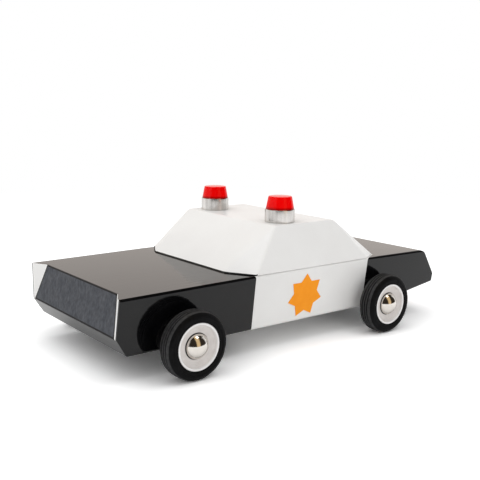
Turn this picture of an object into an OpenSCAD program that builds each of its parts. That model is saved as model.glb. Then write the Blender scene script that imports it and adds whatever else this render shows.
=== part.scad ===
// Wooden toy police car: a painted block body with a glued-on cabin block,
// two roof beacons and four free-rolling rubber-tyred wheels on fixed steel axles.
// +X is the nose, +Y the left side, +Z up. The origin lies on the ground, at the middle of the car.

/* [Body block] */
// Overall length from the chin to the tail light
body_len = 180; // [160:1:210]
// Width across the shoulders
shoulder_w = 79.2; // [70:0.2:90]
// Width across the underside
sill_w = 73.5; // [68:0.1:77]
// Height of the block from the underside to the shoulder
block_h = 23.5; // [22:0.1:30]
// Fall of the bonnet from the windscreen to the nose
bonnet_drop = 0.6; // [0.2:0.1:3]
// Fall of the boot deck from the rear window to its edge
deck_drop = 0.5; // [0.2:0.1:3]

/* [Nose] */
// Height of the chin line above the underside
chin_rise = 7.5; // [4:0.1:12]
// Distance of the underside's front edge behind the chin
chin_back = 4.6; // [1:0.1:10]
// Distance of the wing tips behind the chin
tip_back = 0.6; // [0.1:0.05:3]
// Distance of the grille's top edge behind the chin
grille_back = 4.2; // [4:0.1:12]
// Width of the grille at its top edge
grille_top_w = 62; // [50:0.2:69]
// Thickness of the wing tips at the front
tip_t = 1.2; // [0.2:0.1:2]

/* [Tail] */
// Distance of the deck's edge ahead of the tail
deck_fore = 9.9; // [2:0.1:20]
// Height of the tail's upper knee above the underside
knee_rise = 10; // [8:0.1:16]
// Height of the tail's lower edge above the underside
foot_rise = 5.4; // [1:0.1:7]
// Length of the underside's upward sweep at the tail
sweep_len = 36.6; // [10:0.2:40]
// Thickness of the tail light strip
strip_t = 0.2; // [0.1:0.05:0.6]
// Bare margin above and below the tail light strip
strip_margin = 0.4; // [0.1:0.1:1]
// Bare margin at each end of the tail light strip
strip_end_margin = 1.2; // [0.1:0.1:10]

/* [Cabin block] */
// Distance from the chin back to the foot of the windscreen
bonnet_len = 55.2; // [45:0.1:62]
// Length of the cabin's foot
cabin_len = 82; // [70:0.5:90]
// Height of the cabin
cabin_h = 18.4; // [14:0.1:26]
// Run of the windscreen from its foot to the roof
screen_run = 23.1; // [10:0.1:26]
// Length of the roof
roof_len = 34.3; // [26:0.1:44]
// Width of the roof
roof_w = 65; // [58:0.2:70]
// Length of the front pillar's foot along the car
front_pillar_len = 7.5; // [2:0.1:12]
// Depth of the front pillar's foot in from the side
front_pillar_in = 12.6; // [4:0.1:16]
// Length of the rear pillar's foot along the car
rear_pillar_len = 8.6; // [2:0.1:12]
// Depth of the rear pillar's foot in from the side
rear_pillar_in = 4.9; // [2:0.1:16]
// Diameter of the two dowels that locate the cabin
dowel_d = 6; // [4:0.5:8]
// Length of each dowel, half of it in each block
dowel_len = 18; // [12:0.5:22]
// Distance between the dowels
dowel_pitch = 42; // [30:1:46]

/* [Door stars] */
// Distance of the star's centre behind the front edge of the door
star_back = 28.5; // [18:0.1:44]
// Distance of the star's centre below the middle of the door
star_drop = 0.5; // [-1:0.1:1]
// Radius of the star's points
star_r = 9.8; // [4:0.1:10.2]
// Number of points
star_points = 7; // [5:1:9]
// Thickness of the star decal
star_t = 0.2; // [0.1:0.05:0.5]

/* [Wheels] */
// Outer diameter of the tyres
tyre_d = 26.8; // [24:0.1:34]
// Width of the tyres
tyre_w = 8; // [6.6:0.1:10]
// Radius of the tyre's shoulders
tyre_round = 2.7; // [0.6:0.1:3]
// Number of grooves around the tread
groove_count = 3; // [1:1:4]
// Width of a tread groove
groove_w = 0.35; // [0.2:0.05:0.5]
// Depth of a tread groove
groove_d = 0.45; // [0.2:0.05:0.8]
// Gap between the widest line of the body and the tyres
wheel_gap = 1.9; // [1:0.1:6]
// Distance from the chin back to the front axle
front_overhang = 28; // [24:0.1:34]
// Distance between the axles
wheelbase = 106.4; // [90:0.1:110]
// Outer diameter of the wheel's bright rim lip
rim_d = 18.6; // [16:0.1:20]
// Width of the rim lip, seen from the side
rim_lip = 0.9; // [0.5:0.1:1.5]
// Thickness of the rim lip along the axle
rim_lip_t = 0.7; // [0.4:0.1:1.2]
// Height of the rim lip over the tyre's seat
rim_step = 0.8; // [0.4:0.1:1.2]
// Distance of the tyre's side proud of the rim lip
tyre_proud = 0.2; // [0:0.05:0.6]
// Depth of the wheel's dish below the rim lip
dish_depth = 1.7; // [0.8:0.1:2.6]
// Diameter of the dish's flat floor
dish_floor_d = 11.6; // [10.4:0.1:13]
// Thickness of the wheel's web
web_t = 1.8; // [1:0.1:2.4]
// Wall of the wheel's rim behind the web
rim_wall = 1.4; // [0.8:0.1:2]
// Diameter of the wheel's inner boss
boss_d = 6.8; // [5.6:0.1:8]
// Distance of the inner boss proud of the tyre
boss_proud = 0.7; // [0.2:0.1:1.5]

/* [Axles] */
// Diameter of the steel axles
axle_d = 3; // [2:0.1:4]
// Height of the axles above the underside
axle_rise = 2.95; // [2.95:0.1:6.05]
// Outer diameter of the axle spacers
spacer_d = 5; // [4.6:0.2:6.4]
// Depth of the spacers' flat seats below the edge of the underside
seat_depth = 0.2; // [0.1:0.05:0.6]
// Diameter of the domed axle caps
cap_d = 9.8; // [7:0.1:10.4]
// Height of a cap's straight skirt
cap_skirt = 0.5; // [0.2:0.1:1]
// Height of a cap's dome above the skirt
cap_dome = 2.9; // [1.5:0.1:3.4]
// Wall over the axle's end, at the top of a cap's dome
cap_wall = 1.2; // [0.8:0.1:1.5]

/* [Beacons] */
// Distance of the beacons behind the roof's front edge
beacon_back = 9.7; // [9:0.1:20]
// Distance of a beacon's centre in from the side of the roof
beacon_in = 8.5; // [7.6:0.1:20]
// Diameter of the bright base
base_d = 13.2; // [12:0.1:15]
// Height of the bright base
base_h = 5.6; // [4:0.1:8]
// Diameter of the lens at its foot
lens_foot_d = 12.5; // [11:0.1:13]
// Diameter of the lens at its top
lens_top_d = 10.3; // [8:0.1:12]
// Height of the lens
lens_h = 5.6; // [4:0.1:9]
// Radius of the lens's top edge
lens_round = 0.5; // [0.2:0.1:1.5]
// Wall of the lens
lens_t = 0.9; // [0.6:0.1:1.2]
// Height of the collar that the lens plugs over
collar_h = 1.4; // [0.6:0.1:2.4]
// Floor of the base under the screw's head
base_floor = 2.4; // [1.2:0.1:3.4]
// Diameter of the screw's head
screw_head_d = 5.2; // [4:0.1:6]
// Height of the screw's head
screw_head_h = 1.8; // [1.2:0.1:2.4]
// Diameter of the screw's shank
screw_d = 2.6; // [2:0.1:3.2]
// Depth of the screw in the cabin
screw_grip = 9; // [6:0.5:12]

/* [Clearances] */
// Radial clearance of a wheel running on its axle
run_clear = 0.05; // [0.02:0.01:0.1]
// Radial clearance of a glued or pressed fit
glue_clear = 0.02; // [0.01:0.01:0.05]
// End play of a wheel, at each end of its boss
end_play = 0.2; // [0.1:0.05:0.5]
// Radial room around spacers and screw heads
seat_room = 0.3; // [0.1:0.1:0.6]

/* [Hidden] */
$fn = 96;

// Room by which a cutter passes the face that it opens
cut = 1;
left = 1;
right = -1;

// Heights above the ground
axle_h = tyre_d / 2;
underside_h = axle_h - axle_rise;
shoulder_h = underside_h + block_h;
roof_h = shoulder_h + cabin_h;
chin_h = underside_h + chin_rise;
nose_h = shoulder_h - bonnet_drop;
star_h = underside_h + block_h / 2 - star_drop;

// Places along the car
nose_x = body_len / 2;
tail_x = strip_t - body_len / 2;
front_axle_x = nose_x - front_overhang;
rear_axle_x = front_axle_x - wheelbase;
screen_x = nose_x - bonnet_len;
door_front_x = screen_x - front_pillar_len;
rear_window_x = screen_x - cabin_len;
door_rear_x = rear_window_x + rear_pillar_len;
roof_front_x = screen_x - screen_run;
roof_rear_x = roof_front_x - roof_len;
beacon_x = roof_front_x - beacon_back;
star_x = door_front_x - star_back;
dowel_x = (screen_x + roof_front_x + rear_window_x + roof_rear_x) / 4;

// The leaning sides
side_lean = atan((shoulder_w - sill_w) / 2 / block_h);
function side_y(h) = sill_w / 2 + (h - underside_h) * tan(side_lean);

// A point's twin on the other side of the car
function mirrored(p) = [p[0], -p[1], p[2]];

// Distances from the middle of the car outwards along an axle
body_y = max(sill_w, shoulder_w) / 2;
tyre_in = body_y + wheel_gap;
tyre_out = tyre_in + tyre_w;
rim_face = tyre_out - tyre_proud;
lip_back = rim_face - rim_lip_t;
dish_floor = rim_face - dish_depth;
web_back = dish_floor - web_t;
boss_in = tyre_in - boss_proud;
spacer_seat = sill_w / 2 - seat_depth;
spacer_end = boss_in - end_play;
cap_foot = dish_floor + end_play;
cap_top = cap_foot + cap_skirt + cap_dome;
axle_end = cap_top - cap_wall;
rim_seat_d = rim_d - 2 * rim_step;

// Carries its children outwards along an axle, on the left or the right side
module on_axle(x, side) {
  translate([x, 0, axle_h])
    rotate([-90 * side, 0, 0])
      children();
}

// Lays its children on a leaning door, their Z axis outwards
module on_door(side) {
  translate([star_x, side * side_y(star_h), star_h])
    rotate([90 + side_lean, 0, side == left ? 180 : 0])
      children();
}

// The block's outline across the car, run along its whole length
module cross_section_prism() {
  translate([-body_len, 0, 0])
    rotate([90, 0, 90])
      linear_extrude(height = 2 * body_len)
        polygon([
          [-sill_w / 2, underside_h],
          [sill_w / 2, underside_h],
          [shoulder_w / 2, shoulder_h],
          [-shoulder_w / 2, shoulder_h]
        ]);
}

// The block's outline from the side, run across its whole width
module side_profile_prism() {
  translate([0, shoulder_w, 0])
    rotate([90, 0, 0])
      linear_extrude(height = 2 * shoulder_w)
        polygon([
          [nose_x - chin_back, underside_h],
          [nose_x, chin_h],
          [nose_x - tip_back, nose_h],
          [screen_x, shoulder_h],
          [rear_window_x, shoulder_h],
          [tail_x + deck_fore, shoulder_h - deck_drop],
          [tail_x, underside_h + knee_rise],
          [tail_x, underside_h + foot_rise],
          [tail_x + sweep_len, underside_h]
        ]);
}

// The wedge cut out of the nose: its back is the leaning grille, its ends slope out to the wing tips
module grille_scoop() {
  chin = [nose_x, side_y(chin_h) - tip_t, chin_h];
  grille_top = [nose_x - grille_back, grille_top_w / 2, nose_h];
  wing_tip = [nose_x - tip_back, shoulder_w / 2 - tip_t, nose_h];
  past_hood = 1.2;
  past_nose = 3;
  back = chin + past_hood * (grille_top - chin);
  front = back + past_nose * (wing_tip - grille_top);
  polyhedron(
    points = [chin, back, front, mirrored(chin), mirrored(back), mirrored(front)],
    faces = [[0, 2, 1], [3, 4, 5], [0, 1, 4, 3], [1, 2, 5, 4], [2, 0, 3, 5]]
  );
}

module dowels(clearance) {
  length = dowel_len + 2 * clearance;
  for (end = [-1, 1])
    translate([dowel_x + end * dowel_pitch / 2, 0, shoulder_h - length / 2])
      cylinder(h = length, d = dowel_d + 2 * clearance);
}

module lower_body() {
  color("#1b1a1d")
    difference() {
      intersection() {
        side_profile_prism();
        cross_section_prism();
      }
      grille_scoop();
      dowels(glue_clear);
      for (x = [front_axle_x, rear_axle_x], side = [left, right])
        on_axle(x, side) {
          cylinder(h = shoulder_w, d = axle_d + 2 * glue_clear);
          translate([0, 0, spacer_seat])
            cylinder(h = shoulder_w, d = spacer_d + 2 * seat_room);
        }
    }
}

module cabin_block() {
  foot_y = shoulder_w / 2;
  half = [
    [screen_x, foot_y - front_pillar_in, shoulder_h],
    [door_front_x, foot_y, shoulder_h],
    [door_rear_x, foot_y, shoulder_h],
    [rear_window_x, foot_y - rear_pillar_in, shoulder_h],
    [roof_front_x, roof_w / 2, roof_h],
    [roof_rear_x, roof_w / 2, roof_h]
  ];
  other = [for (p = half) mirrored(p)];
  color("#f2f0ec")
    difference() {
      polyhedron(
        points = concat(half, other),
        faces = [
          [0, 1, 2, 3, 9, 8, 7, 6],
          [4, 10, 11, 5],
          [0, 6, 10, 4],
          [3, 5, 11, 9],
          [1, 4, 5, 2],
          [7, 8, 11, 10],
          [0, 4, 1],
          [6, 7, 10],
          [2, 5, 3],
          [8, 9, 11]
        ]
      );
      dowels(glue_clear);
      for (side = [left, right])
        at_beacon(side)
          translate([0, 0, -screw_grip - seat_room])
            cylinder(h = screw_grip + seat_room + cut, d = screw_d + 2 * glue_clear);
    }
}

module cabin_dowels() {
  color("#d8b98a")
    dowels(0);
}

module tail_light_strip() {
  strip_low = underside_h + foot_rise + strip_margin;
  strip_h = knee_rise - foot_rise - 2 * strip_margin;
  end_y = side_y(strip_low) - strip_end_margin;
  color("#c81e22")
    translate([tail_x - strip_t, -end_y, strip_low])
      cube([strip_t, 2 * end_y, strip_h]);
}

// A star whose edges join every second point
module door_star(side) {
  notch_r = star_r * cos(360 / star_points) / cos(180 / star_points);
  function corner(i) = i % 2 == 0 ? star_r : notch_r;
  color("#f39a26")
    on_door(side)
      linear_extrude(height = star_t)
        polygon([
          for (i = [0 : 2 * star_points - 1])
            corner(i) * [sin(180 * i / star_points), cos(180 * i / star_points)]
        ]);
}

module left_door_star() { door_star(left); }
module right_door_star() { door_star(right); }

// Carries its children to a beacon's place on the roof
module at_beacon(side) {
  translate([beacon_x, side * (roof_w / 2 - beacon_in), roof_h])
    children();
}

// Bright base: the screw's head lies in its well, and its tapered collar fills the foot of the lens
module beacon_base(side) {
  collar_d = lens_foot_d - 2 * lens_t - 2 * glue_clear;
  collar_taper = (lens_foot_d - lens_top_d) * collar_h / (lens_h - lens_t);
  color("#d9dadc")
    at_beacon(side)
      difference() {
        union() {
          cylinder(h = base_h, d = base_d);
          translate([0, 0, base_h])
            cylinder(h = collar_h, d1 = collar_d, d2 = collar_d - collar_taper);
        }
        translate([0, 0, base_floor])
          cylinder(h = base_h + collar_h, d = screw_head_d + 2 * seat_room);
        translate([0, 0, -cut])
          cylinder(h = base_floor + 2 * cut, d = screw_d + 2 * seat_room);
      }
}

module left_beacon_base() { beacon_base(left); }
module right_beacon_base() { beacon_base(right); }

// Hollow red cone with a round top edge
module beacon_lens(side) {
  round_step = 15;
  color("#d3151b", 0.8)
    at_beacon(side)
      translate([0, 0, base_h])
        rotate_extrude()
          polygon([
            [lens_foot_d / 2, 0],
            for (a = [0 : round_step : 90])
              [lens_top_d / 2 - lens_round * (1 - cos(a)), lens_h - lens_round * (1 - sin(a))],
            [0, lens_h],
            [0, lens_h - lens_t],
            [lens_top_d / 2 - lens_t, lens_h - lens_t],
            [lens_foot_d / 2 - lens_t, 0]
          ]);
}

module left_beacon_lens() { beacon_lens(left); }
module right_beacon_lens() { beacon_lens(right); }

module beacon_screws() {
  color("#b9bcc0")
    for (side = [left, right])
      at_beacon(side) {
        translate([0, 0, base_floor])
          cylinder(h = screw_head_h, d = screw_head_d);
        translate([0, 0, -screw_grip])
          cylinder(h = screw_grip + base_floor, d = screw_d);
      }
}

module axle(x) {
  color("#b4b7bb")
    on_axle(x, left)
      translate([0, 0, -axle_end])
        cylinder(h = 2 * axle_end, d = axle_d);
}

module front_axle() { axle(front_axle_x); }
module rear_axle() { axle(rear_axle_x); }

module spacer(x, side) {
  color("#2a2a2c")
    on_axle(x, side)
      translate([0, 0, spacer_seat])
        difference() {
          cylinder(h = spacer_end - spacer_seat, d = spacer_d);
          translate([0, 0, -cut])
            cylinder(h = spacer_end - spacer_seat + 2 * cut, d = axle_d + 2 * glue_clear);
        }
}

module front_left_spacer() { spacer(front_axle_x, left); }
module front_right_spacer() { spacer(front_axle_x, right); }
module rear_left_spacer() { spacer(rear_axle_x, left); }
module rear_right_spacer() { spacer(rear_axle_x, right); }

module axle_cap(x, side) {
  dome_r = (pow(cap_d / 2, 2) + pow(cap_dome, 2)) / (2 * cap_dome);
  color("#cfcdc8")
    on_axle(x, side)
      translate([0, 0, cap_foot])
        difference() {
          union() {
            cylinder(h = cap_skirt, d = cap_d);
            translate([0, 0, cap_skirt])
              intersection() {
                translate([0, 0, cap_dome - dome_r])
                  sphere(r = dome_r);
                translate([-cap_d, -cap_d, 0])
                  cube([2 * cap_d, 2 * cap_d, cap_d]);
              }
          }
          translate([0, 0, -cut])
            cylinder(h = axle_end - cap_foot + glue_clear + cut, d = axle_d + 2 * glue_clear);
        }
}

module front_left_axle_cap() { axle_cap(front_axle_x, left); }
module front_right_axle_cap() { axle_cap(front_axle_x, right); }
module rear_left_axle_cap() { axle_cap(rear_axle_x, left); }
module rear_right_axle_cap() { axle_cap(rear_axle_x, right); }

// Dished wheel: a boss on the axle, a web, a rim that seats the tyre and a bright lip outside it
module wheel(x, side) {
  bore_r = axle_d / 2 + run_clear;
  cavity_r = rim_seat_d / 2 - rim_wall;
  color("#e8e6e2")
    on_axle(x, side)
      rotate_extrude()
        polygon([
          [bore_r, boss_in],
          [boss_d / 2, boss_in],
          [boss_d / 2, web_back],
          [cavity_r, web_back],
          [cavity_r, tyre_in],
          [rim_seat_d / 2, tyre_in],
          [rim_seat_d / 2, lip_back],
          [rim_d / 2, lip_back],
          [rim_d / 2, rim_face],
          [rim_d / 2 - rim_lip, rim_face],
          [dish_floor_d / 2, dish_floor],
          [bore_r, dish_floor]
        ]);
}

module front_left_wheel() { wheel(front_axle_x, left); }
module front_right_wheel() { wheel(front_axle_x, right); }
module rear_left_wheel() { wheel(rear_axle_x, left); }
module rear_right_wheel() { wheel(rear_axle_x, right); }

// Half outline of a tyre: round shoulders, seats for the rim and its lip, grooves around the tread
module tyre_section() {
  bead_r = rim_seat_d / 2 + glue_clear;
  lip_r = rim_d / 2 + glue_clear;
  tread_r = tyre_d / 2;
  groove_pitch = (tyre_w - 2 * tyre_round) / groove_count;
  first_groove = tyre_in + tyre_round + (groove_pitch - groove_w) / 2;
  difference() {
    union() {
      translate([0, tyre_in])
        square([tread_r - tyre_round, tyre_w]);
      translate([0, tyre_in + tyre_round])
        square([tread_r, tyre_w - 2 * tyre_round]);
      for (w = [tyre_in + tyre_round, tyre_out - tyre_round])
        translate([tread_r - tyre_round, w])
          circle(r = tyre_round);
    }
    square([bead_r, tyre_out + cut]);
    translate([0, lip_back - glue_clear])
      square([lip_r, tyre_w]);
    for (i = [0 : groove_count - 1])
      translate([tread_r - groove_d, first_groove + i * groove_pitch])
        square([tyre_round, groove_w]);
  }
}

module tyre(x, side) {
  color("#202022")
    on_axle(x, side)
      rotate_extrude()
        tyre_section();
}

module front_left_tyre() { tyre(front_axle_x, left); }
module front_right_tyre() { tyre(front_axle_x, right); }
module rear_left_tyre() { tyre(rear_axle_x, left); }
module rear_right_tyre() { tyre(rear_axle_x, right); }

lower_body();
cabin_block();
cabin_dowels();
tail_light_strip();
left_door_star();
right_door_star();
left_beacon_base();
right_beacon_base();
left_beacon_lens();
right_beacon_lens();
beacon_screws();
front_axle();
rear_axle();
front_left_spacer();
front_right_spacer();
rear_left_spacer();
rear_right_spacer();
front_left_axle_cap();
front_right_axle_cap();
rear_left_axle_cap();
rear_right_axle_cap();
front_left_wheel();
front_right_wheel();
rear_left_wheel();
rear_right_wheel();
front_left_tyre();
front_right_tyre();
rear_left_tyre();
rear_right_tyre();
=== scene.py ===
"""Looks of a wooden toy police car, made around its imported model.

Lengths are in metres, in the model's own frame: +X is the nose, +Y the left side, +Z up, Z = 0 the ground.
"""
import math

import bmesh
import bpy
from mathutils import Matrix, Vector


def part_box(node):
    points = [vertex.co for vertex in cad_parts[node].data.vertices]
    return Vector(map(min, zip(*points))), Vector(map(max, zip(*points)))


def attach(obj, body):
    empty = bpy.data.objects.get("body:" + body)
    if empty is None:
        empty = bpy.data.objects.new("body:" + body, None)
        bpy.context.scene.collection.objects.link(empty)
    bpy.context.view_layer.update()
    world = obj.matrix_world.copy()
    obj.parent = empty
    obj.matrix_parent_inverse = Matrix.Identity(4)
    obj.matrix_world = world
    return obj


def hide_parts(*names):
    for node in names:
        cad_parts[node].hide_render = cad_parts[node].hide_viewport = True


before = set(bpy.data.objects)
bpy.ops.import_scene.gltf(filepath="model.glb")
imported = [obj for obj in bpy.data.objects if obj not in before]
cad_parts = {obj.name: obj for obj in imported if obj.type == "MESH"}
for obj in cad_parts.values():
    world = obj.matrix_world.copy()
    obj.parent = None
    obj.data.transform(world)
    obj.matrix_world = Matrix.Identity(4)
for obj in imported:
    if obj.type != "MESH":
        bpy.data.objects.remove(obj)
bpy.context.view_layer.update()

MM = 0.001
UP = Vector((0, 0, 1))
SIDES = {"left": 1, "right": -1}
ENDS = ("front", "rear")

# Camera, solved from the photograph. The sensor's width is in millimetres
CAMERA_PLACE = Vector((211.83, 263.91, 100.65)) * MM
CAMERA_AZIMUTH = math.radians(141.92)
CAMERA_ELEVATION = math.radians(10.12)
CAMERA_ROLL = math.radians(0.83)
FOCAL_PIXELS = 736.28
IMAGE_PIXELS = 480
SENSOR_WIDTH = 36.0
CLIP_START = 0.01
CLIP_END = 50

# Lower body: its box comes from the frame, the corners inside it from these sizes
body_low, body_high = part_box("lower_body")
NOSE_X = body_high.x
TAIL_X = body_low.x
UNDERSIDE_H = body_low.z
SHOULDER_H = body_high.z
SHOULDER_Y = body_high.y
SILL_Y = 36.75 * MM
CHIN_RISE = 7.5 * MM
CHIN_BACK = 4.6 * MM
CHIN_H = UNDERSIDE_H + CHIN_RISE
NOSE_DROP = 0.6 * MM
NOSE_H = SHOULDER_H - NOSE_DROP
TIP_BACK = 0.6 * MM
TIP_THICK = 1.9 * MM
TIP_BLACK = 1.1 * MM
GRILLE_BACK = 4.2 * MM
GRILLE_TOP_Y = 31 * MM
GRILLE_LINE = 0.7 * MM
DECK_FORE = 9.9 * MM
DECK_DROP = 0.5 * MM
KNEE_RISE = 10.0 * MM
FOOT_RISE = 5.4 * MM
SWEEP_LEN = 36.6 * MM

# Cabin block. A strip of painted shade, for the shadow in the seam, runs along the foot of its windscreen, of the
# height set below
cabin_low, cabin_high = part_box("cabin_block")
SCREEN_X = cabin_high.x
REAR_WINDOW_X = cabin_low.x
ROOF_H = cabin_high.z
ROOF_Y = 32.5 * MM
SCREEN_RUN = 23.1 * MM
SEAM_SHADE_H = 0.55 * MM
ROOF_LEN = 34.3 * MM
FRONT_PILLAR_LEN = 7.5 * MM
FRONT_PILLAR_IN = 12.6 * MM
REAR_PILLAR_LEN = 8.6 * MM
REAR_PILLAR_IN = 4.9 * MM
DOOR_FRONT_X = SCREEN_X - FRONT_PILLAR_LEN
DOOR_REAR_X = REAR_WINDOW_X + REAR_PILLAR_LEN
ROOF_FRONT_X = SCREEN_X - SCREEN_RUN
ROOF_REAR_X = ROOF_FRONT_X - ROOF_LEN

# Widths of the sanded wooden edges. An edge without width stays sharp
SHARP = 0.0
BODY_EDGE = 1.25 * MM
STRIP_EDGE = 0.45 * MM
WING_EDGE = 0.3 * MM
DECK_EDGE = 3.4 * MM
KNEE_EDGE = 1.2 * MM
TAIL_EDGE = 0.8 * MM
CABIN_EDGE = 0.8 * MM
SEAM_EDGE = 0.4 * MM
WINDOW_FOOT_EDGE = 0.75 * MM
EDGE_STEPS = 5

# Turned pieces. A strip of one lies past a limit when its middle is STRIP_MARGIN past it
TURN_STEPS = 144
FILLET_STEPS = 5
CREASE_ANGLE = math.radians(35)
STRIP_MARGIN = 0.1 * MM
FIT = 0.02 * MM

# Tyres
TYRE_SHOULDER = 2.2 * MM
TREAD_EDGE = 1.2 * MM
GROOVE_COUNT = 3
GROOVE_PITCH = 1.35 * MM
GROOVE_W = 0.62 * MM
GROOVE_D = 0.55 * MM
RIB_H = 0.1 * MM
SHOULDER_TO_RIB = 0.2 * MM
LIP_TO_RIB = 0.45 * MM
BEAD_FILLET = 0.2 * MM
TYRE_FILLET = 0.12 * MM

# Wheels
RIM_SEAT_R = 8.5 * MM
RIM_LIP = 0.9 * MM
RIM_LIP_T = 0.7 * MM
RIM_WALL = 1.4 * MM
LIP_DROP = 0.8 * MM
LIP_DRAFT = 0.12 * MM
DISH_DEPTH = 1.7 * MM
DISH_FLOOR_R = 5.8 * MM
RING_COUNT = 5
RING_D = 0.05 * MM
RECESS_W = 0.3 * MM
RECESS_D = 0.6 * MM
WEB_T = 1.8 * MM
BOSS_R = 3.4 * MM
BORE_R = 1.55 * MM
BORE_FILLET = 0.1 * MM
BOSS_FILLET = 0.3 * MM
CAVITY_FILLET = 0.4 * MM
SEAT_FILLET = 0.15 * MM
RIM_BACK_FILLET = 0.1 * MM
RIM_FACE_FILLET = 0.3 * MM
LIP_FILLET = 0.25 * MM
DISH_TOP_FILLET = 0.1 * MM
DISH_FLOOR_FILLET = 0.2 * MM
RECESS_FILLET = 0.08 * MM
RECESS_FLOOR_FILLET = 0.05 * MM

# Axle caps
AXLE_R = 1.5 * MM
CAP_SKIRT = 0.5 * MM
CAP_CHAMFER = 0.15 * MM
DOME_STEPS = 20

# Beacons
LENS_TOP_R = 5.15 * MM
LENS_T = 0.9 * MM
LENS_FOOT_FILLET = 0.12 * MM
LENS_TOP_FILLET = 0.5 * MM
LENS_INSIDE_FILLET = 0.3 * MM
COLLAR_H = 1.4 * MM
COLLAR_FILLET = 0.1 * MM
BASE_FILLET = 0.2 * MM
WELL_R = 2.9 * MM
WELL_FLOOR = 2.4 * MM
SCREW_HOLE_R = 1.6 * MM

# Solids that keep their own shape: the finish of each kind, and the width of its fine edges if it has any
DRESSED = {
    "star": ("star_vinyl", 0.06 * MM),
    "strip": ("tail_red", 0.06 * MM),
    "axle": ("drawn_steel", None),
    "screws": ("drawn_steel", 0.2 * MM),
    "spacer": ("spacer_plastic", 0.2 * MM),
    "dowels": ("dowel_wood", None),
}
FINE_EDGE_STEPS = 2
FINE_EDGE_ANGLE = math.radians(50)

# Floor: its tone as the camera sees it and as it lights the car, and where the shadow ends and plain white begins
FLOOR_SIZE = 20.0
FLOOR_SEEN = 1.28
FLOOR_LIGHTING = 0.96
SHADOW_REACH = 0.22
WHITE_REACH = 0.60

# Surroundings. A zone is where a coordinate of the direction begins to count and where it counts in full
OVERHEAD_Z = (0.45, 0.70)
ROOM_SIDE_Y = (0.08, 0.40)
DIM_SIDE_Y = (0.0, 0.8)
WARM_SIDE_Y = (-0.25, -0.55)
WINDOW_REAR_X = (-0.42, -0.22)
WINDOW_FRONT_X = (0.24, 0.06)
DIM_STRENGTH = 0.76
DOME_COLOUR = (1, 1, 1, 1)
WARM_COLOUR = (0.98, 0.90, 0.84, 1)
ROOM_COLOUR = (0.030, 0.023, 0.017, 1)
WINDOW_COLOUR = (0.74, 0.55, 0.31, 1)

# Soft lights, each with its place, its width and its watts, aimed above the middle of the car's underside
LIGHTS = {
    "key_light": ((-0.15, 0.35, 0.90), 0.30, 0.6),
    "front_light": ((0.36, -0.10, 0.95), 0.50, 1.5),
}
AIM_RISE = 20 * MM

# Noise lies nearly all between these values
NOISE_LOW = 0.3
NOISE_HIGH = 0.7
NOISE_DETAIL = 3.0


def make_camera():
    """Stands the camera at the photograph's viewpoint."""
    flat = math.cos(CAMERA_ELEVATION)
    back = Vector((
        math.sin(CAMERA_AZIMUTH) * flat,
        -math.cos(CAMERA_AZIMUTH) * flat,
        math.sin(CAMERA_ELEVATION),
    ))
    level = (-back).cross(UP).normalized()
    above = back.cross(level)
    right = level * math.cos(CAMERA_ROLL) + above * math.sin(CAMERA_ROLL)
    up = above * math.cos(CAMERA_ROLL) - level * math.sin(CAMERA_ROLL)
    data = bpy.data.cameras.new("photo_camera")
    data.sensor_width = SENSOR_WIDTH
    data.lens = FOCAL_PIXELS / IMAGE_PIXELS * SENSOR_WIDTH
    data.clip_start = CLIP_START
    data.clip_end = CLIP_END
    camera = bpy.data.objects.new("photo_camera", data)
    turn = Matrix((right, up, back)).transposed().to_4x4()
    camera.matrix_world = Matrix.Translation(CAMERA_PLACE) @ turn
    bpy.context.collection.objects.link(camera)
    bpy.context.scene.camera = camera


class Tree:
    """Node tree of a material or a world."""

    def __init__(self, owner):
        owner.use_nodes = True
        self.nodes = owner.node_tree.nodes
        self.links = owner.node_tree.links

    def add(self, kind, inputs=None, **settings):
        """Adds a node. An input that is given a socket is linked to it, and any other is set to its value."""
        node = self.nodes.new(kind)
        for name, value in settings.items():
            setattr(node, name, value)
        for key, value in (inputs or {}).items():
            if isinstance(value, bpy.types.NodeSocket):
                self.links.new(value, node.inputs[key])
            else:
                node.inputs[key].default_value = value
        return node

    def fade(self, value, start, end, low=0.0, high=1.0, shape="LINEAR"):
        """Goes from low to high as a value goes from start to end."""
        inputs = {"Value": value, "From Min": start, "From Max": end, "To Min": low, "To Max": high}
        return self.add("ShaderNodeMapRange", inputs, interpolation_type=shape).outputs["Result"]

    def combine(self, operation, first, second):
        """Result of a maths operation on two values."""
        return self.add("ShaderNodeMath", {0: first, 1: second}, operation=operation).outputs["Value"]

    def mix(self, share, first, second):
        """Shader that goes from the first to the second as the share goes from 0 to 1."""
        return self.add("ShaderNodeMixShader", {"Fac": share, 1: first, 2: second}).outputs["Shader"]


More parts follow.
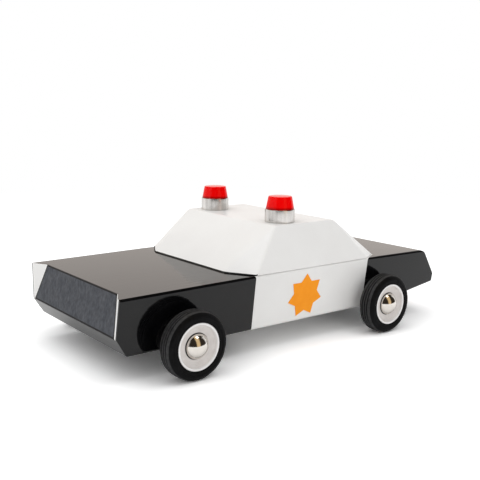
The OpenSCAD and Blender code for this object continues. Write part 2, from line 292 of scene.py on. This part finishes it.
class Finish(Tree):
    """A procedural material: one Principled shader, with textures in object space that feed it."""

    def __init__(self, name, **sockets):
        self.material = bpy.data.materials.new(name)
        super().__init__(self.material)
        self.shader = self.nodes["Principled BSDF"]
        self.normal = None
        for socket, value in sockets.items():
            self.shader.inputs[socket.replace("_", " ")].default_value = value

    def noise(self, size, detail=NOISE_DETAIL):
        """Noise with grains of about the given size, one length or one for each axis."""
        sizes = size if isinstance(size, tuple) else (size, size, size)
        coords = self.add("ShaderNodeTexCoord").outputs["Object"]
        inputs = {"Vector": coords, "Scale": [1 / length for length in sizes]}
        place = self.add("ShaderNodeMapping", inputs).outputs["Vector"]
        inputs = {"Vector": place, "Scale": 1.0, "Detail": detail}
        return self.add("ShaderNodeTexNoise", inputs).outputs["Fac"]

    def tint(self, low, high, texture):
        """Spreads the base colour between two colours along a texture."""
        ramp = self.add("ShaderNodeValToRGB", {"Fac": texture})
        first, last = ramp.color_ramp.elements
        first.position, first.color = NOISE_LOW, (*low, 1)
        last.position, last.color = NOISE_HIGH, (*high, 1)
        self.links.new(ramp.outputs["Color"], self.shader.inputs["Base Color"])

    def roughen(self, low, high, texture):
        """Spreads the roughness from low to high along a texture."""
        spread = self.fade(texture, NOISE_LOW, NOISE_HIGH, low, high)
        self.links.new(spread, self.shader.inputs["Roughness"])

    def paint_shade_below(self, share, below, above):
        """Paints shade: scales the base colour to a share of itself below one height, and not at all above another.
        """
        coords = self.add("ShaderNodeTexCoord").outputs["Object"]
        height = self.add("ShaderNodeSeparateXYZ", {"Vector": coords}).outputs["Z"]
        base = self.shader.inputs["Base Color"]
        colour = base.links[0].from_socket
        inputs = {"Vector": colour, "Scale": self.fade(height, below, above, low=share)}
        scale = self.add("ShaderNodeVectorMath", inputs, operation="SCALE")
        self.links.new(scale.outputs["Vector"], base)

    def bump(self, depth, texture):
        """Raises the surface by up to the given depth along a texture, over any earlier bump."""
        bump = self.add("ShaderNodeBump", {"Distance": depth, "Height": texture})
        if self.normal:
            self.links.new(self.normal, bump.inputs["Normal"])
        self.normal = bump.outputs["Normal"]
        self.links.new(self.normal, self.shader.inputs["Normal"])


# Each finish has two colours, two roughnesses and a relief of bumps, and spreads them along noise. mottle and sheen
# are the grain sizes of the first two, and a bump is its depth and its grain size. The rest are shader sockets
WOOD_GRAIN = (45 * MM, 1.1 * MM, 1.1 * MM)
LACQUER_RELIEF = [(0.02 * MM, WOOD_GRAIN), (0.006 * MM, 1.5 * MM)]
FINISH_TABLE = {
    "black_lacquer": dict(
        IOR=1.40, relief=LACQUER_RELIEF,
        colours=[(0.0015, 0.0015, 0.0018), (0.004, 0.004, 0.0045)], mottle=9 * MM,
        roughness=(0.05, 0.11), sheen=14 * MM,
    ),
    "white_lacquer": dict(
        IOR=1.45, relief=LACQUER_RELIEF,
        colours=[(0.80, 0.79, 0.775), (0.84, 0.835, 0.82)], mottle=22 * MM,
        roughness=(0.28, 0.42), sheen=12 * MM,
    ),
    "grille_paint": dict(
        IOR=1.33, relief=[(0.05 * MM, (0.9 * MM, 0.8 * MM, 1.6 * MM))],
        colours=[(0.030, 0.034, 0.043), (0.066, 0.072, 0.086)], mottle=(1.2 * MM, 1.2 * MM, 2.0 * MM), detail=6,
        roughness=(0.45, 0.65), sheen=4 * MM,
    ),
    # Dark line round the grille; also painted shade in the seam at the windscreen's foot
    "dark_line_and_seam_shade": dict(
        IOR=1.25, relief=[(0.01 * MM, 0.8 * MM)],
        colours=[(0.003, 0.003, 0.004), (0.006, 0.006, 0.007)], mottle=1.5 * MM,
        roughness=(0.42, 0.58), sheen=2.5 * MM,
    ),
    "bright_metal": dict(
        Metallic=1.0, relief=[(0.002 * MM, 0.6 * MM)],
        colours=[(0.74, 0.70, 0.65), (0.83, 0.785, 0.735)], mottle=3 * MM,
        roughness=(0.05, 0.13), sheen=2 * MM,
    ),
    "turned_metal": dict(
        Metallic=1.0, relief=[(0.0006 * MM, (0.5 * MM, 0.5 * MM, 40 * MM))],
        colours=[(0.50, 0.48, 0.46), (0.78, 0.755, 0.73)], mottle=(2.4 * MM, 2.4 * MM, 40 * MM), detail=2,
        roughness=(0.16, 0.24), sheen=(1.2 * MM, 1.2 * MM, 40 * MM),
    ),
    "red_lens": dict(
        IOR=1.22, Transmission_Weight=0.1, relief=[(0.004 * MM, 0.9 * MM)],
        colours=[(0.93, 0.0012, 0.0015), (0.99, 0.002, 0.002)], mottle=4 * MM,
        roughness=(0.05, 0.10), sheen=2 * MM,
    ),
    "tyre_rubber": dict(
        IOR=1.18, relief=[(0.012 * MM, 0.35 * MM)],
        colours=[(0.002, 0.002, 0.0024), (0.005, 0.005, 0.0056)], mottle=1.5 * MM, detail=4,
        roughness=(0.38, 0.58), sheen=2.5 * MM,
    ),
    # Lighter copy of the tyre rubber: painted light on the tread
    "tread_painted_light": dict(
        IOR=1.30, relief=[(0.015 * MM, 0.35 * MM)],
        colours=[(0.020, 0.020, 0.0205), (0.042, 0.042, 0.043)], mottle=1.2 * MM, detail=4,
        roughness=(0.45, 0.65), sheen=2.5 * MM,
    ),
    "wheel_plastic": dict(
        IOR=1.46, relief=[(0.006 * MM, 0.5 * MM)],
        colours=[(0.69, 0.65, 0.625), (0.77, 0.73, 0.705)], mottle=2.5 * MM,
        roughness=(0.26, 0.42), sheen=1.4 * MM,
    ),
    "rim_white": dict(
        IOR=1.48, relief=[(0.004 * MM, 0.5 * MM)],
        colours=[(0.83, 0.81, 0.80), (0.88, 0.865, 0.855)], mottle=2.5 * MM,
        roughness=(0.16, 0.28), sheen=1.2 * MM,
    ),
    "star_vinyl": dict(
        IOR=1.25, relief=[(0.006 * MM, 0.5 * MM)],
        colours=[(0.97, 0.315, 0.007), (1.0, 0.345, 0.011)], mottle=3 * MM,
        roughness=(0.32, 0.46), sheen=1.6 * MM,
    ),
    "tail_red": dict(
        IOR=1.45, relief=[(0.006 * MM, 0.5 * MM)],
        colours=[(0.55, 0.012, 0.012), (0.66, 0.02, 0.018)], mottle=3 * MM,
        roughness=(0.25, 0.38), sheen=1.6 * MM,
    ),
    "drawn_steel": dict(
        Metallic=1.0, relief=[(0.003 * MM, (0.2 * MM, 3 * MM, 0.2 * MM))],
        colours=[(0.46, 0.46, 0.47), (0.58, 0.58, 0.585)], mottle=(0.4 * MM, 6 * MM, 0.4 * MM),
        roughness=(0.24, 0.40), sheen=(0.3 * MM, 4 * MM, 0.3 * MM),
    ),
    # Dark plastic of the spacers, also used as painted shade on the floor of each wheel's recess round the cap
    "spacer_plastic": dict(
        IOR=1.46, relief=[(0.006 * MM, 0.4 * MM)],
        colours=[(0.012, 0.012, 0.013), (0.024, 0.024, 0.025)], mottle=1.2 * MM,
        roughness=(0.35, 0.5), sheen=1 * MM,
    ),
    "dowel_wood": dict(
        IOR=1.45, relief=[(0.03 * MM, (0.4 * MM, 0.4 * MM, 9 * MM))],
        colours=[(0.50, 0.34, 0.19), (0.68, 0.49, 0.29)], mottle=(0.7 * MM, 0.7 * MM, 14 * MM), detail=5,
        roughness=(0.55, 0.75), sheen=1.5 * MM,
    ),
}

# Painted shade on the lens: its colour is darker at its foot, where it meets the collar
LENS_FOOT_SHADE = 0.45
LENS_FOOT_DARK = 0.4 * MM
LENS_FOOT_CLEAR = 1.3 * MM


def make_finish(name, colours, mottle, roughness, sheen, relief, detail=NOISE_DETAIL, **sockets):
    """Makes one finish of the table. detail is that of the noise between its colours."""
    finish = Finish(name, **sockets)
    finish.tint(*colours, finish.noise(mottle, detail))
    # The lens gets painted shade at its foot
    if name == "red_lens":
        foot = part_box("left_beacon_lens")[0].z
        finish.paint_shade_below(LENS_FOOT_SHADE, foot + LENS_FOOT_DARK, foot + LENS_FOOT_CLEAR)
    finish.roughen(*roughness, finish.noise(sheen))
    for depth, size in relief:
        finish.bump(depth, finish.noise(size))
    return finish.material


FINISHES = {name: make_finish(name, **values) for name, values in FINISH_TABLE.items()}


def add_piece(bm, name, finishes):
    """Turns a bmesh into an object with smooth faces and the named finishes."""
    for face in bm.faces:
        face.smooth = True
    mesh = bpy.data.meshes.new(name)
    bm.to_mesh(mesh)
    bm.free()
    for finish in finishes:
        mesh.materials.append(FINISHES[finish])
    piece = bpy.data.objects.new(name, mesh)
    bpy.context.collection.objects.link(piece)
    return piece


def stand_for(piece, node, body):
    """Puts a piece in the place of a solid of the frame."""
    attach(piece, body)
    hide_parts(node)


def wooden_block(name, half, faces, widths, usual_width, finishes):
    """Closed block, alike on both sides, with sanded edges.

    half gives the corners of the left side by name. A face is (finish, kind, corners): one of the kind across goes on
    through the twins of its corners on the right side, and one of the kind side has a twin of its own there. widths
    gives the edges that don't have the usual width.
    """
    widest = max(usual_width, *widths.values())
    bm = bmesh.new()
    weight = bm.edges.layers.float.new("bevel_weight_edge")
    left = {key: bm.verts.new(point) for key, point in half.items()}
    right = {key: bm.verts.new((x, -y, z)) for key, (x, y, z) in half.items()}
    names = {vert: key for twin in (left, right) for key, vert in twin.items()}
    for finish, kind, corners in faces:
        near = [left[key] for key in corners]
        far = [right[key] for key in reversed(corners)]
        for ring in ([near + far] if kind == "across" else [near, far]):
            bm.faces.new(ring).material_index = finishes.index(finish)
    bmesh.ops.recalc_face_normals(bm, faces=bm.faces)
    for line in bm.edges:
        ends = frozenset(names[vert] for vert in line.verts)
        width = widths.get(ends, usual_width)
        line[weight] = width / widest
        line.smooth = width != SHARP
    piece = add_piece(bm, name, finishes)
    bevel = piece.modifiers.new("sanded_edges", "BEVEL")
    bevel.limit_method = "WEIGHT"
    bevel.width = widest
    bevel.segments = EDGE_STEPS
    bevel.use_clamp_overlap = False
    piece.modifiers.new("flat_faces", "WEIGHTED_NORMAL").keep_sharp = True
    return piece


def edge_widths(groups):
    """Width of each edge, from groups of edges with one width.

    An edge is written as the names of its two ends, or as one name where it joins a corner to its twin.
    """
    return {frozenset(ends.split()): width for width, group in groups for ends in group}


def side_y(height):
    """Distance of the leaning side from the middle of the car."""
    lean = (SHOULDER_Y - SILL_Y) / (SHOULDER_H - UNDERSIDE_H)
    return SILL_Y + (height - UNDERSIDE_H) * lean


def make_body():
    """Lower block: black nose and tail, white doors, a slate grille between white wing faces."""
    def on_side(x, height, inward=0.0):
        return (x, side_y(height) - inward, height)

    hood_len = NOSE_X - SCREEN_X - TIP_BACK
    grille_h = NOSE_H + (SHOULDER_H - NOSE_H) * (GRILLE_BACK - TIP_BACK) / hood_len
    half = {
        "foot": on_side(NOSE_X - CHIN_BACK, UNDERSIDE_H),
        "chin": on_side(NOSE_X, CHIN_H),
        "chin_mid": on_side(NOSE_X, CHIN_H, TIP_BLACK),
        "chin_in": on_side(NOSE_X, CHIN_H, TIP_THICK),
        "tip": on_side(NOSE_X - TIP_BACK, NOSE_H),
        "tip_mid": on_side(NOSE_X - TIP_BACK, NOSE_H, TIP_BLACK),
        "tip_in": on_side(NOSE_X - TIP_BACK, NOSE_H, TIP_THICK),
        "grille": (NOSE_X - GRILLE_BACK, GRILLE_TOP_Y, grille_h),
        "screen": on_side(SCREEN_X, SHOULDER_H),
        "screen_in": on_side(SCREEN_X, SHOULDER_H, FRONT_PILLAR_IN),
        "door_front": on_side(DOOR_FRONT_X, SHOULDER_H),
        "sill_front": on_side(DOOR_FRONT_X, UNDERSIDE_H),
        "door_rear": on_side(DOOR_REAR_X, SHOULDER_H),
        "sill_rear": on_side(DOOR_REAR_X, UNDERSIDE_H),
        "window": on_side(REAR_WINDOW_X, SHOULDER_H),
        "window_in": on_side(REAR_WINDOW_X, SHOULDER_H, REAR_PILLAR_IN),
        "deck": on_side(TAIL_X + DECK_FORE, SHOULDER_H - DECK_DROP),
        "knee": on_side(TAIL_X, UNDERSIDE_H + KNEE_RISE),
        "tail": on_side(TAIL_X, UNDERSIDE_H + FOOT_RISE),
        "sweep": on_side(TAIL_X + SWEEP_LEN, UNDERSIDE_H),
    }
    low, high = Vector(half["chin_in"]), Vector(half["grille"])
    inset = Vector((0, GRILLE_LINE, 0))
    share = GRILLE_LINE / (high - low).length
    half["panel_low"] = low.lerp(high, share) - inset
    half["panel_high"] = high.lerp(low, share) - inset
    faces = [
        ("black_lacquer", "side", ("foot", "chin", "tip", "screen", "door_front", "sill_front")),
        ("white_lacquer", "side", ("sill_front", "door_front", "door_rear", "sill_rear")),
        ("black_lacquer", "side", ("sill_rear", "door_rear", "window", "deck", "knee", "tail", "sweep")),
        ("black_lacquer", "side", ("chin", "chin_mid", "tip_mid", "tip")),
        ("white_lacquer", "side", ("chin_mid", "chin_in", "tip_in", "tip_mid")),
        ("white_lacquer", "side", ("chin_in", "grille", "tip_in")),
        ("black_lacquer", "side", ("screen", "screen_in", "door_front")),
        ("black_lacquer", "side", ("window", "door_rear", "window_in")),
        ("black_lacquer", "across", ("foot", "chin", "chin_mid", "chin_in")),
        ("dark_line_and_seam_shade", "side", ("chin_in", "grille", "panel_high", "panel_low")),
        ("dark_line_and_seam_shade", "across", ("chin_in", "panel_low")),
        ("grille_paint", "across", ("panel_low", "panel_high")),
        ("dark_line_and_seam_shade", "across", ("panel_high", "grille")),
        ("black_lacquer", "across", ("grille", "tip_in", "tip_mid", "tip", "screen", "screen_in")),
        ("white_lacquer", "across", ("screen_in", "door_front", "door_rear", "window_in")),
        ("black_lacquer", "across", ("window_in", "window", "deck")),
        ("black_lacquer", "across", ("deck", "knee")),
        ("black_lacquer", "across", ("knee", "tail")),
        ("black_lacquer", "across", ("tail", "sweep")),
        ("black_lacquer", "across", ("sweep", "sill_rear")),
        ("white_lacquer", "across", ("sill_rear", "sill_front")),
        ("black_lacquer", "across", ("sill_front", "foot")),
    ]
    widths = edge_widths([
        (SHARP, (
            "screen screen_in", "screen_in", "screen_in door_front", "window window_in", "window_in",
            "window_in door_rear", "door_front sill_front", "door_rear sill_rear", "sill_front", "sill_rear",
            "chin_in panel_low", "grille panel_high", "panel_low panel_high", "panel_low", "panel_high",
            "chin_mid tip_mid",
        )),
        (WING_EDGE, (
            "foot chin", "chin chin_mid", "chin_mid chin_in", "chin_in tip_in", "tip tip_mid", "tip_mid tip_in",
            "tip_in grille", "chin_in", "grille", "chin_in grille",
        )),
        (STRIP_EDGE, ("chin tip",)),
        (SEAM_EDGE, ("door_front door_rear",)),
        (DECK_EDGE, ("deck",)),
        (KNEE_EDGE, ("knee",)),
        (TAIL_EDGE, ("tail",)),
    ])
    finishes = ["black_lacquer", "white_lacquer", "grille_paint", "dark_line_and_seam_shade"]
    piece = wooden_block("painted_body", half, faces, widths, BODY_EDGE, finishes)
    stand_for(piece, "lower_body", "car_body")


def make_cabin():
    """Faceted white block that stands for the windows and the roof, with a strip of painted shade along the seam at
    its front foot.
    """
    half = {
        "screen": (SCREEN_X, SHOULDER_Y - FRONT_PILLAR_IN, SHOULDER_H),
        "front": (DOOR_FRONT_X, SHOULDER_Y, SHOULDER_H),
        "rear": (DOOR_REAR_X, SHOULDER_Y, SHOULDER_H),
        "window": (REAR_WINDOW_X, SHOULDER_Y - REAR_PILLAR_IN, SHOULDER_H),
        "roof_front": (ROOF_FRONT_X, ROOF_Y, ROOF_H),
        "roof_rear": (ROOF_REAR_X, ROOF_Y, ROOF_H),
    }
    roof_front = Vector(half["roof_front"])
    seam_share = SEAM_SHADE_H / (ROOF_H - SHOULDER_H)
    half["screen_line"] = Vector(half["screen"]).lerp(roof_front, seam_share)
    half["pillar_line"] = Vector(half["front"]).lerp(roof_front, seam_share)
    # The dark strip at the windscreen's foot is painted shade of the seam
    faces = [
        ("white_lacquer", "across", ("screen", "front", "rear", "window")),
        ("dark_line_and_seam_shade", "across", ("screen", "screen_line")),
        ("dark_line_and_seam_shade", "side", ("screen", "screen_line", "pillar_line", "front")),
        ("white_lacquer", "across", ("roof_front", "roof_rear")),
        ("white_lacquer", "across", ("screen_line", "roof_front")),
        ("white_lacquer", "across", ("window", "roof_rear")),
        ("white_lacquer", "side", ("pillar_line", "roof_front", "roof_rear")),
        ("white_lacquer", "side", ("front", "pillar_line", "roof_rear", "rear")),
        ("white_lacquer", "side", ("screen_line", "roof_front", "pillar_line")),
        ("white_lacquer", "side", ("rear", "roof_rear", "window")),
    ]
    widths = edge_widths([
        (SHARP, ("screen", "screen front", "screen_line", "screen_line pillar_line", "pillar_line roof_rear")),
        (WINDOW_FOOT_EDGE, ("rear window", "window")),
        (SEAM_EDGE, ("front rear",)),
    ])
    piece = wooden_block("painted_cabin", half, faces, widths, CABIN_EDGE, ["white_lacquer", "dark_line_and_seam_shade"])
    stand_for(piece, "cabin_block", "car_body")


def rounded(outline):
    """Points of a closed outline, each corner (radius, along, fillet) turned into an arc of that fillet."""
    points = []
    for index, (x, y, fillet) in enumerate(outline):
        corner = Vector((x, y))
        if not fillet:
            points.append(corner)
            continue
        back = (Vector(outline[index - 1][:2]) - corner).normalized()
        ahead = (Vector(outline[(index + 1) % len(outline)][:2]) - corner).normalized()
        half = back.angle(ahead) / 2
        middle = corner + (back + ahead).normalized() * fillet / math.sin(half)
        start = corner + back * fillet / math.tan(half) - middle
        sweep = start.angle_signed(corner + ahead * fillet / math.tan(half) - middle)
        for step in range(FILLET_STEPS + 1):
            turn = -sweep * step / FILLET_STEPS
            points.append(middle + Matrix.Rotation(turn, 2) @ start)
    return points


def lathe(name, outline, centre, axis, finishes, finish_of=None):
    """Solid turned about an axis from a closed outline of (radius, along) points.

    finish_of gives the finish for the radius and the place along the axis of a strip's middle.
    """
    axis = Vector(axis)
    across = Vector((1, 0, 0))
    upward = axis.cross(across)
    bm = bmesh.new()
    rings = []
    for radius, along in outline:
        spots = TURN_STEPS if radius > 0 else 1
        rings.append([
            bm.verts.new(
                Vector(centre) + axis * along
                + across * radius * math.cos(2 * math.pi * spot / TURN_STEPS)
                + upward * radius * math.sin(2 * math.pi * spot / TURN_STEPS)
            )
            for spot in range(spots)
        ])
    for index, ring in enumerate(rings):
        after = (index + 1) % len(rings)
        target = rings[after]
        if len(ring) == 1 and len(target) == 1:
            continue
        middle = (outline[index] + outline[after]) / 2
        finish = finishes.index(finish_of(*middle)) if finish_of else 0
        for spot in range(TURN_STEPS):
            corners = [
                ring[spot % len(ring)], ring[(spot + 1) % len(ring)],
                target[(spot + 1) % len(target)], target[spot % len(target)],
            ]
            unique = list(dict.fromkeys(corners))
            bm.faces.new(unique).material_index = finish
    bmesh.ops.recalc_face_normals(bm, faces=bm.faces)
    piece = add_piece(bm, name, finishes)
    piece.data.set_sharp_from_angle(angle=CREASE_ANGLE)
    return piece


def axle_reach(node, side):
    """Inner and outer ends of a node along its axle, from the middle of the car, and its greatest radius."""
    low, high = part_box(node)
    inner, outer = (low.y, high.y) if side > 0 else (-high.y, -low.y)
    return inner, outer, (high.x - low.x) / 2


def make_tyre(corner, side, centre):
    """Rubber tyre: round shoulders, fine grooves round the tread, a lighter rubber on the tread as painted light, and
    two thin ribs on its outer face.
    """
    inner, outer, tread_r = axle_reach(f"{corner}_tyre", side)
    rim_face, rim_r = axle_reach(f"{corner}_wheel", side)[1:]
    bead_r = RIM_SEAT_R + FIT
    lip_r = rim_r + FIT
    lip_back = rim_face - RIM_LIP_T - FIT
    first_groove = (inner + outer - GROOVE_PITCH * (GROOVE_COUNT - 1) - GROOVE_W) / 2
    groove_floor = tread_r - GROOVE_D
    face = outer - RIB_H
    outline = [(bead_r, inner, BEAD_FILLET), (tread_r, inner, TYRE_SHOULDER)]
    for index in range(GROOVE_COUNT):
        start = first_groove + GROOVE_PITCH * index
        end = start + GROOVE_W
        outline += [(tread_r, start, TYRE_FILLET), (groove_floor, start, 0)]
        outline += [(groove_floor, end, 0), (tread_r, end, TYRE_FILLET)]
    outline += [(tread_r, face, TYRE_SHOULDER)]
    for rib_r in (tread_r - TYRE_SHOULDER - SHOULDER_TO_RIB, lip_r + LIP_TO_RIB):
        outline += [(rib_r + RIB_H, face, 0), (rib_r + RIB_H / 2, outer, 0)]
        outline += [(rib_r - RIB_H / 2, outer, 0), (rib_r - RIB_H, face, 0)]
    outline += [(lip_r, face, TYRE_FILLET), (lip_r, lip_back, 0), (bead_r, lip_back, 0)]

    # The tread between its edges gets the lighter rubber as painted light; the groove floors and the sidewalls keep
    # the dark one
    def finish_of(radius, along):
        above_floor = radius > groove_floor + STRIP_MARGIN
        on_tread = above_floor and inner + TREAD_EDGE < along < outer - TREAD_EDGE
        return "tread_painted_light" if on_tread else "tyre_rubber"

    finishes = ["tyre_rubber", "tread_painted_light"]
    return lathe(f"{corner}_moulded_tyre", rounded(outline), centre, (0, side, 0), finishes, finish_of)


def make_wheel(corner, side, centre):
    """Dished wheel with a bright lip, fine turned rings in the dish and a recess round the cap, its floor painted
    dark as painted shade.
    """
    boss_in, face, rim_r = axle_reach(f"{corner}_wheel", side)
    recess_r = axle_reach(f"{corner}_axle_cap", side)[2] + RECESS_W
    tyre_in = axle_reach(f"{corner}_tyre", side)[0]
    lip_r = rim_r - RIM_LIP
    lip_back = face - RIM_LIP_T
    dish_top = face - LIP_DROP
    floor = face - DISH_DEPTH
    recess = floor - RECESS_D
    web_back = floor - WEB_T
    cavity_r = RIM_SEAT_R - RIM_WALL
    outline = [
        (BORE_R, boss_in, BORE_FILLET), (BOSS_R, boss_in, BOSS_FILLET), (BOSS_R, web_back, BOSS_FILLET),
        (cavity_r, web_back, CAVITY_FILLET), (cavity_r, tyre_in, SEAT_FILLET),
        (RIM_SEAT_R, tyre_in, SEAT_FILLET), (RIM_SEAT_R, lip_back, 0),
        (rim_r, lip_back, RIM_BACK_FILLET), (rim_r, face, RIM_FACE_FILLET),
        (lip_r, face, LIP_FILLET), (lip_r - LIP_DRAFT, dish_top, DISH_TOP_FILLET),
    ]
    for index in range(1, RING_COUNT):
        share = index / RING_COUNT
        radius = lip_r + (DISH_FLOOR_R - lip_r) * share
        level = dish_top + (floor - dish_top) * math.sin(share * math.pi / 2)
        outline += [(radius + RING_D, level + RING_D, 0), (radius, level - RING_D, 0)]
    outline += [(DISH_FLOOR_R, floor, DISH_FLOOR_FILLET), (recess_r, floor, RECESS_FILLET)]
    outline += [(recess_r, recess, RECESS_FLOOR_FILLET), (BORE_R, recess, 0)]

    def finish_of(radius, along):
        # The recess's floor gets the spacers' dark plastic as painted shade
        if radius < recess_r and recess - STRIP_MARGIN < along < floor - STRIP_MARGIN:
            return "spacer_plastic"
        return "rim_white" if radius > lip_r - STRIP_MARGIN and along > lip_back else "wheel_plastic"

    finishes = ["wheel_plastic", "rim_white", "spacer_plastic"]
    return lathe(f"{corner}_turned_wheel", rounded(outline), centre, (0, side, 0), finishes, finish_of)


def make_cap(corner, side, centre):
    """Polished domed cap, pressed on the end of the axle."""
    foot, top, cap_r = axle_reach(f"{corner}_axle_cap", side)
    axle_end = axle_reach(f"{corner.split('_')[0]}_axle", side)[1]
    rise = top - foot - CAP_SKIRT
    dome_r = (cap_r ** 2 + rise ** 2) / (2 * rise)
    edge = math.asin(cap_r / dome_r)
    bore_r = AXLE_R + FIT
    outline = [
        Vector((bore_r, foot)), Vector((cap_r - CAP_CHAMFER, foot)), Vector((cap_r, foot + CAP_CHAMFER)),
    ]
    for step in range(DOME_STEPS + 1):
        tilt = edge * (1 - step / DOME_STEPS)
        outline.append(Vector((dome_r * math.sin(tilt), top - dome_r * (1 - math.cos(tilt)))))
    outline[-1].x = 0
    outline += [Vector((0, axle_end + FIT)), Vector((bore_r, axle_end + FIT))]
    return lathe(f"{corner}_polished_cap", outline, centre, (0, side, 0), ["bright_metal"])


def make_wheels():
    """Tyre and wheel, which turn, and the fixed cap at each end of both axles."""
    for end in ENDS:
        low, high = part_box(f"{end}_axle")
        middle = (low + high) / 2
        centre = (middle.x, 0, middle.z)
        for hand, side in SIDES.items():
            corner = f"{end}_{hand}"
            body = f"wheel_{end}_{hand}"
            stand_for(make_tyre(corner, side, centre), f"{corner}_tyre", body)
            stand_for(make_wheel(corner, side, centre), f"{corner}_wheel", body)
            stand_for(make_cap(corner, side, centre), f"{corner}_axle_cap", "car_body")


def make_beacon(hand):
    """Bright turned base with a hollow red lens on its collar."""
    base_low, base_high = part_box(f"{hand}_beacon_base")
    lens_low, lens_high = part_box(f"{hand}_beacon_lens")
    centre = (base_low + base_high) / 2
    foot = (centre.x, centre.y, base_low.z)
    base_r = (base_high.x - base_low.x) / 2
    lens_r = (lens_high.x - lens_low.x) / 2
    base_h = lens_low.z - base_low.z
    lens_h = lens_high.z - lens_low.z
    top = base_h + lens_h
    collar_r = lens_r - LENS_T - FIT
    taper = (lens_r - LENS_TOP_R) / (lens_h - LENS_T)
    collar_top = base_h + COLLAR_H
    outline = [
        (SCREW_HOLE_R, 0, 0), (base_r, 0, BASE_FILLET), (base_r, base_h, BASE_FILLET), (collar_r, base_h, 0),
        (collar_r - taper * COLLAR_H, collar_top, COLLAR_FILLET), (WELL_R, collar_top, COLLAR_FILLET),
        (WELL_R, WELL_FLOOR, 0), (SCREW_HOLE_R, WELL_FLOOR, 0),
    ]
    base = lathe(f"{hand}_turned_base", rounded(outline), foot, UP, ["turned_metal"])
    stand_for(base, f"{hand}_beacon_base", "car_body")
    outline = [
        (lens_r, base_h, LENS_FOOT_FILLET), (LENS_TOP_R, top, LENS_TOP_FILLET), (0, top, 0),
        (0, top - LENS_T, 0), (LENS_TOP_R - LENS_T, top - LENS_T, LENS_INSIDE_FILLET),
        (lens_r - LENS_T, base_h, 0),
    ]
    lens = lathe(f"{hand}_moulded_lens", rounded(outline), foot, UP, ["red_lens"])
    stand_for(lens, f"{hand}_beacon_lens", "car_body")


def dress_nodes():
    """Finishes of the solids whose shape is already right."""
    for name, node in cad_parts.items():
        kind = name.split("_")[-1]
        if kind not in DRESSED:
            continue
        finish, edge = DRESSED[kind]
        node.data.materials.clear()
        node.data.materials.append(FINISHES[finish])
        if edge:
            bevel = node.modifiers.new("fine_edge", "BEVEL")
            bevel.width = edge
            bevel.segments = FINE_EDGE_STEPS
            bevel.limit_method = "ANGLE"
            bevel.angle_limit = FINE_EDGE_ANGLE


def make_floor():
    """Pale floor that keeps the car's shadow and is plain white further out."""
    material = bpy.data.materials.new("floor_paper")
    tree = Tree(material)
    tree.nodes.clear()
    rays = tree.add("ShaderNodeLightPath").outputs
    seen = rays["Is Camera Ray"]
    tone = tree.fade(seen, 0, 1, FLOOR_LIGHTING, FLOOR_SEEN)
    paper = tree.add("ShaderNodeBsdfDiffuse", {"Color": tone}).outputs["BSDF"]
    white = tree.add("ShaderNodeEmission").outputs["Emission"]
    coords = tree.add("ShaderNodeTexCoord").outputs["Object"]
    distance = tree.add("ShaderNodeVectorMath", {0: coords}, operation="LENGTH").outputs["Value"]
    far = tree.fade(distance, SHADOW_REACH, WHITE_REACH, shape="SMOOTHSTEP")
    for ray in ("Is Glossy Ray", "Is Transmission Ray"):
        seen = tree.combine("MAXIMUM", seen, rays[ray])
    surface = tree.mix(tree.combine("MULTIPLY", seen, far), paper, white)
    tree.add("ShaderNodeOutputMaterial", {"Surface": surface})
    bm = bmesh.new()
    bmesh.ops.create_grid(bm, x_segments=1, y_segments=1, size=FLOOR_SIZE)
    mesh = bpy.data.meshes.new("floor")
    bm.to_mesh(mesh)
    bm.free()
    mesh.materials.append(material)
    floor = bpy.data.objects.new("floor", mesh)
    bpy.context.collection.objects.link(floor)


def make_world():
    """White dome, dimmer on the car's left and, in reflections, warmer on its right.

    Reflections also show a dim room overhead and on the car's left, with a warm window in it.
    """
    world = bpy.data.worlds.new("studio")
    bpy.context.scene.world = world
    tree = Tree(world)
    tree.nodes.clear()
    coords = tree.add("ShaderNodeTexCoord").outputs["Generated"]
    towards = tree.add("ShaderNodeSeparateXYZ", {"Vector": coords}).outputs
    rays = tree.add("ShaderNodeLightPath").outputs
    mirrored = rays["Is Glossy Ray"]

    def zone(axis, limits, **ends):
        return tree.fade(towards[axis], *limits, shape="SMOOTHSTEP", **ends)

    def background(colour, strength=1.0):
        inputs = {"Color": colour, "Strength": strength}
        return tree.add("ShaderNodeBackground", inputs).outputs["Background"]

    warm_part = tree.combine("MULTIPLY", mirrored, zone("Y", WARM_SIDE_Y))
    tones = {"Factor": warm_part, "A": DOME_COLOUR, "B": WARM_COLOUR}
    colour = tree.add("ShaderNodeMix", tones, data_type="RGBA").outputs["Result"]
    dimming = zone("Y", DIM_SIDE_Y, low=1.0, high=DIM_STRENGTH)
    strength = tree.combine("MAXIMUM", dimming, rays["Is Camera Ray"])
    window_part = tree.combine("MULTIPLY", zone("X", WINDOW_REAR_X), zone("X", WINDOW_FRONT_X))
    room = tree.mix(window_part, background(ROOM_COLOUR), background(WINDOW_COLOUR))
    room_part = tree.combine("MAXIMUM", zone("Z", OVERHEAD_Z), zone("Y", ROOM_SIDE_Y))
    room_share = tree.combine("MULTIPLY", mirrored, room_part)
    surface = tree.mix(room_share, background(colour, strength), room)
    tree.add("ShaderNodeOutputWorld", {"Surface": surface})


def make_lights():
    """Square soft lights aimed at the car."""
    aim = Vector((0, 0, UNDERSIDE_H + AIM_RISE))
    for name, (place, width, watts) in LIGHTS.items():
        data = bpy.data.lights.new(name, "AREA")
        data.size = width
        data.energy = watts
        light = bpy.data.objects.new(name, data)
        light.location = place
        light.rotation_euler = (aim - Vector(place)).to_track_quat("-Z", "Y").to_euler()
        bpy.context.collection.objects.link(light)


make_camera()
make_body()
make_cabin()
make_wheels()
for hand_name in SIDES:
    make_beacon(hand_name)
dress_nodes()
make_floor()
make_world()
make_lights()
bpy.context.scene.view_settings.view_transform = "Standard"
